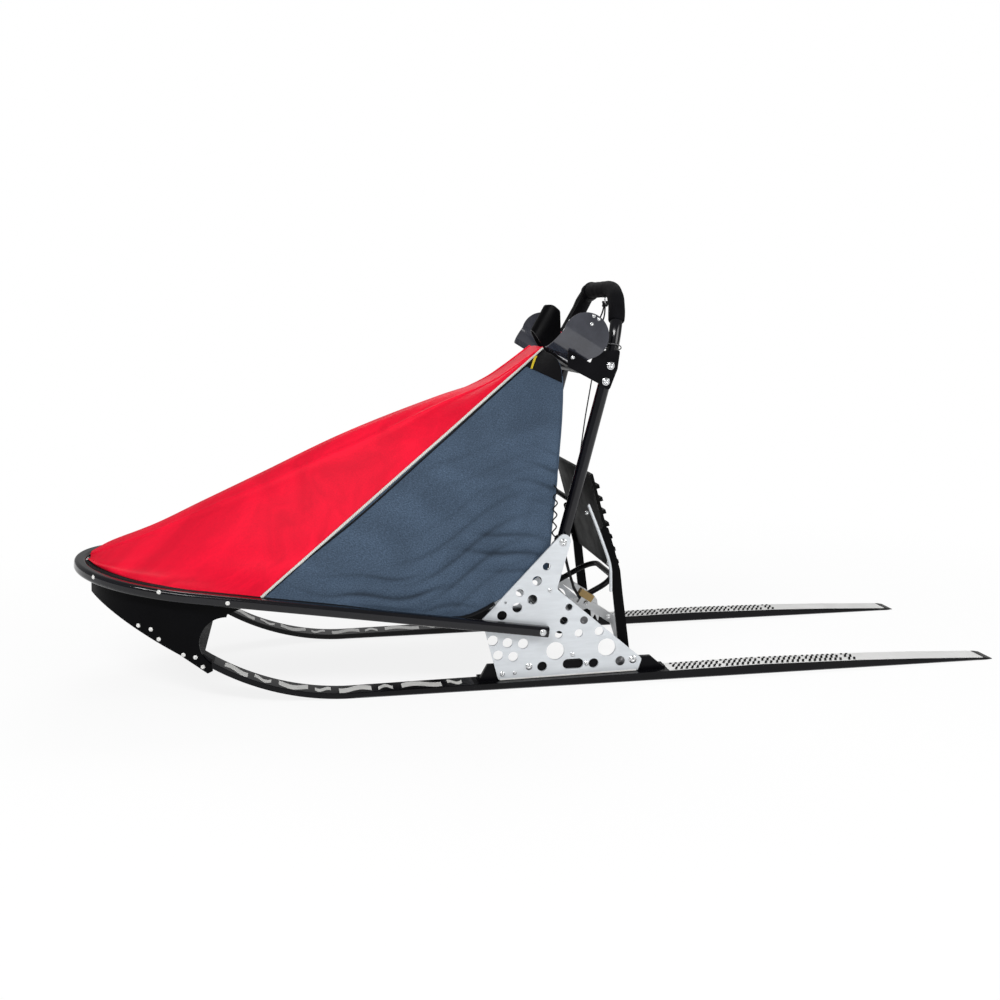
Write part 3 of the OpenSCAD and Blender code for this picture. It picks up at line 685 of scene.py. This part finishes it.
def build_bag_trim():
    """Piping on the seam, black hem on the rails, laced rear edge, flap and tab."""
    for label, sign in SIDES:
        mirror = np.array([1, sign, 1])
        s = np.linspace(SEAM_FROM, 1, 240)
        t = seam_row(s)
        tube_piece(f"bag_piping_{label}", "sled", "piping", bag_surface(s, t, 1.6) * mirror, 3.5, 10)
        # A dark line along the slate just below the piping
        tube_piece(f"bag_piping_dark_line_{label}", "sled", "black_cord",
                   bag_surface(s[4:], t[4:] - 0.017, 0.6) * mirror, 2.4)
        # Hem over the rail's top, from the nose to the side plate
        s = np.linspace(0.0, 0.84, 260)
        edge = bag_surface(s, np.full_like(s, 0.002), 0.8) * mirror
        out = unit(np.cross(unit(np.gradient(edge, axis=0)), [0, 0, 1.0])) * sign
        out = unit(np.where(out[:, 1:2] * sign < -0.2, -out, out) + [0, 0, -0.12])
        band_piece(f"bag_hem_{label}", "sled", "black_web", edge + out * 6 * MM, out, 19, 2)
        # Rear edge binding and its zigzag lacing
        t = np.linspace(0.02, 0.36, 90)
        tube_piece(f"bag_rear_binding_{label}", "sled", "slate",
                   bag_surface(np.ones_like(t), t, 0.5) * mirror, 1.8, 10)
        z = 0.268 + 0.19 * np.linspace(0, 1, 15)
        zig = np.stack([-0.006 + 0.009 * (np.arange(15) % 2) + 0.04 * (z - 0.27), np.full(15, 0.2475) * sign,
                        z], 1)
        tube_piece(f"bag_lacing_{label}", "sled", "black_cord", curve(zig, 160), 1.6)
        # Flap folded over the top corner, with a small tab in front of it
        u = np.linspace(0.9, 1.0, 300)
        room = seam_row(u) - row_where(u, FLAP_NORMAL, FLAP_D)
        u = np.linspace(u[np.argmax(room > 0.01)], 1.0, 40)[:, None] + np.zeros((1, 40))
        low = row_where(u, FLAP_NORMAL, FLAP_D)
        t = low + (seam_row(u) - low) * np.linspace(0, 1, 40)[None]
        flap = bag_surface(u, t, 2.4)
        cloth_piece(f"bag_flap_{label}", flap, "black_cloth", sign, [])
        s = np.linspace(0.962, 0.982, 12)
        t = np.linspace(0.585, 0.655, 12)
        band_piece(f"bag_tab_{label}", "sled", "yellow", bag_surface(s, t, 2.4) * mirror, [1, 0, 0], 9, 1.6)


# ---------------------------------------------------------------- fasteners

def screw(shape, at, axis, head=14.0, high=3.5):
    """Washer, domed head and hexagon socket turned about an axis."""
    r = head / 2
    lathe(shape, at, axis, [(r * 1.25, 0), (r * 1.28, 0.6), (r * 1.2, 1.1), (r * 0.95, 1.1),
                            (r * 0.95, high * 0.6), (r * 0.72, high), (r * 0.4, high),
                            (r * 0.36, high * 0.55), (0.05, high * 0.5)], 20)


def screw_piece(name, body, rows, material="bright"):
    """Screws as one piece, from rows of place, axis, head and height."""
    shape = Shape()
    for at, axis, head, high in rows:
        screw(shape, at, axis, head, high)
    shape.build(name, body, material)


# Screws of one side plate: x, z and head
PLATE_SCREWS = ((19, 329, 14), (-12, 220, 8), (-61, 44, 13), (-123, 30, 9), (-94, 31, 7), (41, 67, 9),
                (74, 44, 9), (184, 47, 15))
# White-headed screws on one bow and front plate: x, y and z
FRONT_SCREWS = ((-1014.2, 186.1, 279.8), (-866.9, 279, 260.8), (-724.4, 288, 231.4),
                (-918.7, 237.6, 179.6), (-891.5, 248.6, 172.5), (-875.3, 254.2, 150.8),
                (-824.7, 261.9, 115), (-799.5, 262, 108.2), (-784.6, 262, 85.7))
BOW_CENTRE = -797.5
PLATE_FACE = 262.0
RAIL_FACE = 288.0


def build_fasteners():
    """Screws of the side plates, rails, front plates, brackets and guards."""
    for label, sign in SIDES:
        out = (0, sign, 0)
        screw_piece(f"plate_screws_{label}", "sled",
                    [((x, PLATE_FACE * sign, z), out, d, 3.5) for x, z, d in PLATE_SCREWS]
                    + [((-33, RAIL_FACE * sign, 129), out, 12, 4)])
        # Bearing of the brake axle and a dark cover beside it
        shape = Shape()
        lathe(shape, (68, PLATE_FACE * sign, 146), out,
              [(8.8, -1), (8.8, 0.6), (8.0, 1.2), (5, 1.2), (4.4, 0.4), (0.1, 0.4)], 30)
        lathe(shape, (154, 260 * sign, 45), out,
              [(10.8, 0), (10.8, 3), (9.5, 4), (4, 4), (3.4, 5), (0.1, 5)], 30)
        shape.build(f"plate_bearings_{label}", "sled", "dark_steel")
        screw_piece(f"front_screws_{label}", "sled",
                    [((x, y * sign, z), unit(np.array([min(x - BOW_CENTRE, 0), y, 0])) * [1, sign, 1], 7.5, 2.6)
                     for x, y, z in FRONT_SCREWS], "white_head")
        # Handlebar bracket bolts with large washers, then the rivets of the hand guard
        screw_piece(f"bracket_bolts_{label}", "sled",
                    [((x, 237.4 * sign, z), out, 14, 4) for x, z in ((134, 723), (123, 688))])
        screw_piece(f"guard_rivets_{label}", "sled",
                    [((x, 247 * sign, z), out, 6.5, 2.2)
                     for x, z in ((92.5, 834.1), (103.9, 827.4), (88, 816.6))]
                    + [((45, 244.4 * sign, 743), (0, sign, -0.25), 7, 2.2)])


# ---------------------------------------------------------------- runners

# Centre and radius of the top of the tip's curve, x and z, and the runner's centre line
TIP = (-465.0, 560.0)
TIP_RADIUS = 549.0
RUNNER_Y = 250.0
RUNNER_TOP = np.array([[-465, 11], [-178, 14], [197, 19], [488, 22], [739, 18], [893, 13], [1069, 5]], float)


def runner_top_line(x0, x1, n):
    """Points on a runner's top, in X and Z: the curved tip by angle, then the table."""
    x = np.linspace(x0, x1, n)
    flat = np.interp(x, RUNNER_TOP[:, 0], RUNNER_TOP[:, 1])
    arc = TIP[1] - np.sqrt(np.maximum(TIP_RADIUS ** 2 - (x - TIP[0]) ** 2, 1))
    return x, np.where(x < TIP[0], arc, flat)


def top_sheet(name, x0, x1, width, material, sign):
    """A thin sheet lying on the middle of a runner's top from x0 to x1."""
    x, z = runner_top_line(x0, x1, 120)
    path = np.stack([x, np.full(len(x), RUNNER_Y * sign), z + 0.3], 1) * MM
    band_piece(name, "sled", material, path, [0, 1, 0], width, 0.6, smooth=False)


def build_runner_dressing():
    """Top sheets, grip pads, scrolls and sole edges of the two runners."""
    for label, sign in SIDES:
        top_sheet(f"runner_top_rear_{label}", 268, 1060, 58, "ski_top", sign)
        top_sheet(f"runner_top_front_{label}", -760, -190, 56, "bow", sign)
        # Grip pads: rows of small raised lozenges in blocks along the standing place
        shape = Shape()
        for start, end in ((286, 352), (366, 396), (410, 490), (506, 520), (534, 600), (616, 700), (716, 736)):
            xs = np.arange(start, end, 13.0)
            ys = np.arange(-22, 23, 11.0)
            gx, gy = [g.ravel() for g in np.meshgrid(xs, ys, indexing="ij")]
            gx = gx + 5.0 * (np.round((gy + 22) / 11).astype(int) % 2)
            gz = np.interp(gx, RUNNER_TOP[:, 0], RUNNER_TOP[:, 1]) + 0.6
            cell = np.array([[-3.2, -2.2, 0], [1.2, -2.8, 0], [3.2, 2.2, 0], [-1.2, 2.8, 0],
                             [-2.8, -1.8, 1.2], [0.9, -2.3, 1.2], [2.8, 1.8, 1.2], [-0.9, 2.3, 1.2]])
            pts = np.stack([gx, RUNNER_Y * sign + gy, gz], 1)[:, None] + cell[None] * [1.3, 1.5, 1.2]
            quads = np.array([[0, 1, 5, 4], [1, 2, 6, 5], [2, 3, 7, 6], [3, 0, 4, 7],
                              [4, 5, 6, 7], [3, 2, 1, 0]])
            faces = (quads[None] + 8 * np.arange(len(gx))[:, None, None]).reshape(-1, 4)
            shape.add(pts * MM, faces)
        shape.build(f"runner_grip_{label}", "sled", "rubber", smooth=False, outward=False)
        # Plain scrolls on the tip's top
        shape = Shape()
        for k, (x0, x1) in enumerate(((-738, -690), (-676, -640), (-624, -560), (-545, -510), (-492, -420),
                                      (-405, -372), (-352, -262), (-248, -215))):
            x, z = runner_top_line(x0, x1, 24)
            swing = 9 * np.sin(np.linspace(0.3, 5.6, 24) + k)
            path = np.stack([x, RUNNER_Y * sign + swing, z + 0.9], 1) * MM
            ribbon(shape, path, [0, 1, 0], (20 if k % 2 else 30) * MM, 0.5 * MM)
        shape.build(f"runner_scrolls_{label}", "sled", "white_head", smooth=False)
        # Steel edges of the sole, seen as a light line low on the side
        shape = Shape()
        for y in (-30.2, 30.2):
            x = np.linspace(-460, 1050, 60)
            path = np.stack([x, RUNNER_Y * sign + np.full(60, y), np.full(60, 1.0)], 1) * MM
            ribbon(shape, path, [0, 1, 0], 1.8 * MM, 1.8 * MM)
        shape.build(f"runner_edges_{label}", "sled", "dark_steel", smooth=False)
        # White strip under the side plate
        x = np.linspace(-128, 192, 20)
        path = np.stack([x, np.full(20, 262.5 * sign), np.interp(x, [-132, 196], [15.6, 20]) + 1.5], 1) * MM
        band_piece(f"plate_foot_strip_{label}", "sled", "white_head", path, [0, sign, 0], 1.2, 3, smooth=False)


# ---------------------------------------------------------------- brake, mat and bar rigging

def build_brake_dressing():
    """Screws of the brake bars, the elastic cord that lifts the brake, and a sleeve on one bar."""
    for label, sign in SIDES:
        screw_piece(f"brake_screws_{label}", "brake",
                    [((88 + f * 88.4, 140 * sign, 165.4 - f * 59.7), (0, sign, 0), 9, 3) for f in (0.16, 0.78)])
    path = curve(np.array([[27, -238, 303], [36, -237, 264], [49, -226, 226], [64, -180, 202],
                           [84, -152, 172]]) * MM, 60)
    obj = tube_piece("brake_elastic", None, "black_cord", path, 3.4, 10)
    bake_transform(obj)
    band_piece("brake_sleeve", "brake", "bronze", np.linspace([84, -150, 188], [114, -150, 168], 8) * MM,
               [0, 1, 0], 20, 17, smooth=False)


def build_mat_dressing():
    """Light rod along the front edge of the near mat arm, a painted highlight, with its two clips."""
    rod = np.array([[93, -201, 402], [95, -201, 397], [114, -201, 349], [129, -201, 308], [141, -201, 273],
                    [146, -201, 249], [147, -201, 222], [147, -201, 196]]) * MM
    # Painted highlight: a light rod where the near arm's front edge catches the light
    tube_piece("mat_arm_edge_highlight", "drag_mat_unit", "plate", curve(rod, 70), 3.6, 12)
    screw_piece("mat_screws", "drag_mat_unit",
                [((x, -196, z), (0, -1, 0), 8, 3) for x, z in ((90, 384), (143, 263))])


# Leaning part of the bar: its foot in x and z, half width, bend radius and height of the arch
BAR_LEAN = np.radians(12.5)
BAR_FOOT = (129, 700)
BAR_HALF = 218.0
BAR_BEND = 145.0
BAR_TOP = 200.8


def bar_line(start, n):
    """Centre line of the arch: up one leg from start, round both corners and down again."""
    low = BAR_TOP - BAR_BEND
    flat = BAR_HALF - BAR_BEND
    a = np.linspace(np.arcsin(np.clip((start - low) / BAR_BEND, 0, 1)), np.pi / 2, n // 3)
    y, h = flat + BAR_BEND * np.cos(a), low + BAR_BEND * np.sin(a)
    mid = np.linspace(flat, -flat, n // 3)[1:-1]
    return bar_place(np.concatenate([y, mid, -y[::-1]]),
                     np.concatenate([h, np.full(mid.size, BAR_TOP), h[::-1]]))


def bar_place(y, h, out=0.0):
    """Point at y across and h up the leaning part of the bar, moved out from its plane."""
    y, h = np.broadcast_arrays(np.asarray(y, float), np.asarray(h, float))
    return np.stack([BAR_FOOT[0] + h * np.sin(BAR_LEAN) + out * np.cos(BAR_LEAN), y,
                     BAR_FOOT[1] + h * np.cos(BAR_LEAN) - out * np.sin(BAR_LEAN)], -1) * MM


def build_grip():
    """Foam sleeve on the arch: slightly uneven, rounded at its two ends."""
    path = bar_line(124, 300)
    u = np.linspace(0, 1, len(path))
    radius = (19.0 + 0.25 * np.sin(u * 61) + 0.2 * np.sin(u * 23)) * MM
    end = np.clip(np.minimum(u, 1 - u) / 0.012, 0, 1)
    radius = radius - 3.2 * MM * (1 - np.sqrt(1 - (1 - end) ** 2))
    shape = Shape()
    tube(shape, path, radius, 40)
    obj = shape.build("grip_foam", "sled", "foam")
    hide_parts("handlebar_grip")


def build_bar_rigging():
    """Clamp rings, straps, knots and cords on the handlebar."""
    build_grip()
    # Band round the arch with a strap down to the bag's top corner
    y = 104
    h0 = BAR_TOP - BAR_BEND + np.sqrt(BAR_BEND ** 2 - (y - BAR_HALF + BAR_BEND) ** 2)
    turn = np.linspace(0, 2 * np.pi, 41)
    shape = Shape()
    for dy in (-9, 0, 9):
        tube(shape, bar_place(y + dy, h0 - 0.22 * dy + 19.8 * np.cos(turn), 19.8 * np.sin(turn)), 2.6 * MM, 8)
    shape.build("arch_band", "sled", "anodised")
    strap = np.linspace(bar_place(y, h0 - 6, -20), [0.094, 0.098, 0.795], 20)
    tube_piece("arch_strap", "sled", "black_cord", strap, 4.0, 12)
    tip = np.array([[95, 98, 797], [88, 95, 782], [80, 88, 770]]) * MM
    tube_piece("arch_strap_tip", "sled", "pink", curve(tip, 24), 3.4, 10)
    # Ring with a knot under the arch and two short cords
    top = bar_place(-58, BAR_TOP - 26)
    ring = top + np.stack([0.3 * np.cos(turn), np.cos(turn), np.sin(turn)], -1) * 9 * MM
    tube_piece("arch_ring", "sled", "bright", ring, 1.8)
    shape = Shape()
    for far in ((0.140, -0.075, 0.812), (0.160, -0.045, 0.806)):
        tube(shape, curve(np.array([top, (top + far) / 2 + [0.004, 0, -0.002], far]), 30), 1.9 * MM, 8)
    k = np.linspace(0, 2 * np.pi * 3, 60)
    knot = top + np.stack([5 * np.cos(k), 6 * np.sin(k), -9 + 5 * np.sin(k * 1.5)], -1) * MM
    tube(shape, knot, 2.2 * MM, 8)
    shape.build("arch_cords", "sled", "black_cord")
    k = np.linspace(0, 2 * np.pi, 61)
    cord = np.array([[102, 200, 706], [97, 200, 676], [85, 199, 606], [73, 198, 520], [66, 197, 470]]) * MM
    for label, sign in SIDES:
        shape = Shape()
        lathe(shape, (132, BAR_HALF * sign, 716), (0.216, 0, 0.976),
              [(14.2, -6), (15.8, -6), (16.2, -4), (16.2, 4), (15.8, 6), (14.2, 6)], 32)
        loop = bar_place((BAR_HALF + 19 * np.cos(k)) * sign, 66 + 7 * np.cos(k), 19 * np.sin(k))
        tube(shape, loop, 1.4 * MM, 8)
        shape.build(f"bar_clamp_{label}", "sled", "dark_steel")
        tube_piece(f"bar_cord_{label}", "sled", "black_cord", curve(cord * [1, sign, 1], 60), 1.5)


def build_cad_finishes():
    """Gives every CAD node its finish, by the longest name that it starts with."""
    for name, obj in NODES.items():
        key = max((k for k in CAD_FINISH if name.startswith(k)), key=len)
        obj.data.materials.clear()
        obj.data.materials.append(MATERIALS[CAD_FINISH[key]])


# ---------------------------------------------------------------- stage

def camera_matrix():
    """Camera axes from its three small turns, as columns right, up and back."""
    yaw, pitch, roll = np.radians([9.64, 8.94, -0.48])
    cy, sy, cp, sp, cr, sr = (np.cos(yaw), np.sin(yaw), np.cos(pitch), np.sin(pitch), np.cos(roll),
                              np.sin(roll))
    base = np.array([[1, 0, 0], [0, 0, -1], [0, 1, 0]])
    about_z = np.array([[cy, -sy, 0], [sy, cy, 0], [0, 0, 1]])
    tilt = np.array([[1, 0, 0], [0, cp, -sp], [0, sp, cp]])
    spin = np.array([[cr, -sr, 0], [sr, cr, 0], [0, 0, 1]])
    r = spin @ tilt @ base @ about_z
    m = Matrix.Identity(4)
    for i in range(3):
        m[i][0], m[i][1], m[i][2] = r[0, i], -r[1, i], -r[2, i]
    m[0][3], m[1][3], m[2][3] = -0.566, -2.85957, 0.84574
    return m


def area_light(name, at, to, size, power):
    """A soft rectangular lamp turned towards a point."""
    lamp = bpy.data.lights.new(name, "AREA")
    lamp.shape, lamp.size, lamp.size_y, lamp.energy = "RECTANGLE", size[0], size[1], power
    o = bpy.data.objects.new(name, lamp)
    bpy.context.scene.collection.objects.link(o)
    back = unit(np.array(at, float) - np.array(to, float))
    right = unit(np.cross([0, 0, 1.0], back))
    up = np.cross(back, right)
    m = Matrix.Identity(4)
    for i in range(3):
        m[i][0], m[i][1], m[i][2], m[i][3] = right[i], up[i], back[i], at[i]
    o.matrix_world = m
    return o


def mesh_floor_material():
    """White floor that keeps a soft shadow near the sled and is plain white further off."""
    m = bpy.data.materials.new("floor")
    m.use_nodes = True
    t = m.node_tree
    shader, out = t.nodes["Principled BSDF"], t.nodes["Material Output"]
    shader.inputs["Base Color"].default_value = (0.93, 0.93, 0.93, 1)
    shader.inputs["Roughness"].default_value = 0.9
    glow = node(t, "ShaderNodeEmission", {"Color": (1, 1, 1, 1), "Strength": 1.0})
    ray = t.nodes.new("ShaderNodeLightPath")
    seen = math_node(t, "MAXIMUM", ray.outputs["Is Camera Ray"],
                     math_node(t, "MAXIMUM", ray.outputs["Is Glossy Ray"], ray.outputs["Is Transmission Ray"]))
    place = t.nodes.new("ShaderNodeTexCoord").outputs["Object"]
    far = node(t, "ShaderNodeVectorMath", {0: place}, operation="LENGTH").outputs["Value"]
    near = map_range(t, far, 1.0, 2.2, 0.86, 1.0)
    mix = node(t, "ShaderNodeMixShader", {0: math_node(t, "MULTIPLY", seen, near), 1: shader.outputs[0],
                                          2: glow.outputs[0]})
    t.links.new(mix.outputs[0], out.inputs["Surface"])
    return m


def build_stage(props):
    """Camera, pale floor, lamps and world."""
    scene = bpy.context.scene
    cam = bpy.data.cameras.new("Camera")
    cam.lens, cam.sensor_width = 43.14, 36.0
    cam.clip_end = 100
    o = bpy.data.objects.new("Camera", cam)
    scene.collection.objects.link(o)
    o.matrix_world = camera_matrix()
    scene.camera = o
    scene.view_settings.view_transform = "Standard"

    mesh_floor_material()
    mesh = bpy.data.meshes.new("floor")
    mesh.from_pydata([(-20, -20, -0.0005), (20, -20, -0.0005), (20, 30, -0.0005), (-20, 30, -0.0005)], [],
                     [(0, 1, 2, 3)])
    mesh.materials.append(bpy.data.materials["floor"])
    floor = bpy.data.objects.new("floor", mesh)
    scene.collection.objects.link(floor)

    world = bpy.data.worlds.new("World")
    scene.world = world
    world.use_nodes = True
    w = world.node_tree
    bg = w.nodes["Background"]
    bg.inputs["Color"].default_value = (1, 1, 1, 1)
    path = w.nodes.new("ShaderNodeLightPath")
    seen = math_node(w, "MAXIMUM", path.outputs["Is Camera Ray"], path.outputs["Is Transmission Ray"])
    w.links.new(map_range(w, seen, 0.0, 1.0, props.sky_strength, 1.0), bg.inputs["Strength"])
    area_light("key", (-2.2, -3.2, 3.7), (0, 0, 0.3), (4.0, 0.6), props.key_power)
    area_light("fill", (2.8, -2.8, 1.8), (0.2, 0, 0.4), (2.0, 2.0), props.key_power * 0.35)
    area_light("rim", (0.5, 3.0, 3.0), (0, 0, 0.5), (3.0, 1.5), props.key_power * 0.4)


# ---------------------------------------------------------------- add-on

class SledFinish(bpy.types.PropertyGroup):
    """Colours of the sled."""
    red_colour: bpy.props.FloatVectorProperty(name="Red cloth", description="Colour of the bag's top",
                                              subtype="COLOR", size=3, default=(0.80, 0.004, 0.030))
    slate_colour: bpy.props.FloatVectorProperty(name="Slate cloth", description="Colour of the bag's sides",
                                                subtype="COLOR", size=3, default=(0.055, 0.084, 0.128))
    plate_colour: bpy.props.FloatVectorProperty(name="Side plates", description="Colour of the side plates",
                                                subtype="COLOR", size=3, default=(0.66, 0.69, 0.72))


class SledStage(bpy.types.PropertyGroup):
    """Light on the sled."""
    key_power: bpy.props.FloatProperty(name="Key lamp", description="Power of the main lamp", unit="POWER",
                                       default=165.0)
    sky_strength: bpy.props.FloatProperty(name="Sky", description="Strength of the light from all round",
                                          default=0.30)


class SLED_OT_finishes(bpy.types.Operator):
    """Makes the finishes and gives them to the frame's nodes"""
    bl_idname = "sled.finishes"
    bl_label = "Finishes"

    def execute(self, context):
        make_materials(context.scene.sled_finish)
        build_cad_finishes()
        return {"FINISHED"}


class SLED_OT_bag(bpy.types.Operator):
    """Builds the bag's cloth panels"""
    bl_idname = "sled.bag"
    bl_label = "Bag"

    def execute(self, context):
        build_bag()
        return {"FINISHED"}


class SLED_OT_bag_trim(bpy.types.Operator):
    """Builds piping, hems, lacing, flap and tab"""
    bl_idname = "sled.bag_trim"
    bl_label = "Bag trim"

    def execute(self, context):
        build_bag_trim()
        return {"FINISHED"}


class SLED_OT_fasteners(bpy.types.Operator):
    """Builds screws, bearings and rivets"""
    bl_idname = "sled.fasteners"
    bl_label = "Fasteners"

    def execute(self, context):
        build_fasteners()
        return {"FINISHED"}


class SLED_OT_runners(bpy.types.Operator):
    """Builds the runners' top sheets, grip and edges"""
    bl_idname = "sled.runners"
    bl_label = "Runners"

    def execute(self, context):
        build_runner_dressing()
        return {"FINISHED"}


class SLED_OT_rigging(bpy.types.Operator):
    """Builds brake, mat and handlebar rigging"""
    bl_idname = "sled.rigging"
    bl_label = "Rigging"

    def execute(self, context):
        build_brake_dressing()
        build_mat_dressing()
        build_bar_rigging()
        return {"FINISHED"}


class SLED_OT_stage(bpy.types.Operator):
    """Sets camera, floor and light"""
    bl_idname = "sled.stage"
    bl_label = "Stage"

    def execute(self, context):
        build_stage(context.scene.sled_stage)
        return {"FINISHED"}


STEPS = (SLED_OT_stage, SLED_OT_finishes, SLED_OT_bag, SLED_OT_bag_trim, SLED_OT_fasteners,
         SLED_OT_runners, SLED_OT_rigging)


class SLED_PT_panel(bpy.types.Panel):
    """Lists the sled's steps"""
    bl_idname = "SLED_PT_panel"
    bl_label = "Dog sled"
    bl_space_type = "VIEW_3D"
    bl_region_type = "UI"
    bl_category = "Dog sled"

    def draw(self, context):
        for step in STEPS:
            self.layout.operator(step.bl_idname)


CLASSES = (SledFinish, SledStage, *STEPS, SLED_PT_panel)


def register():
    for c in CLASSES:
        bpy.utils.register_class(c)
    bpy.types.Scene.sled_finish = bpy.props.PointerProperty(type=SledFinish)
    bpy.types.Scene.sled_stage = bpy.props.PointerProperty(type=SledStage)


def unregister():
    del bpy.types.Scene.sled_stage
    del bpy.types.Scene.sled_finish
    for c in reversed(CLASSES):
        bpy.utils.unregister_class(c)


def main():
    """Builds everything in order."""
    register()
    for step in STEPS:
        group_name, op = step.bl_idname.split(".")
        getattr(getattr(bpy.ops, group_name), op)()


if __name__ == "__main__":
    main()
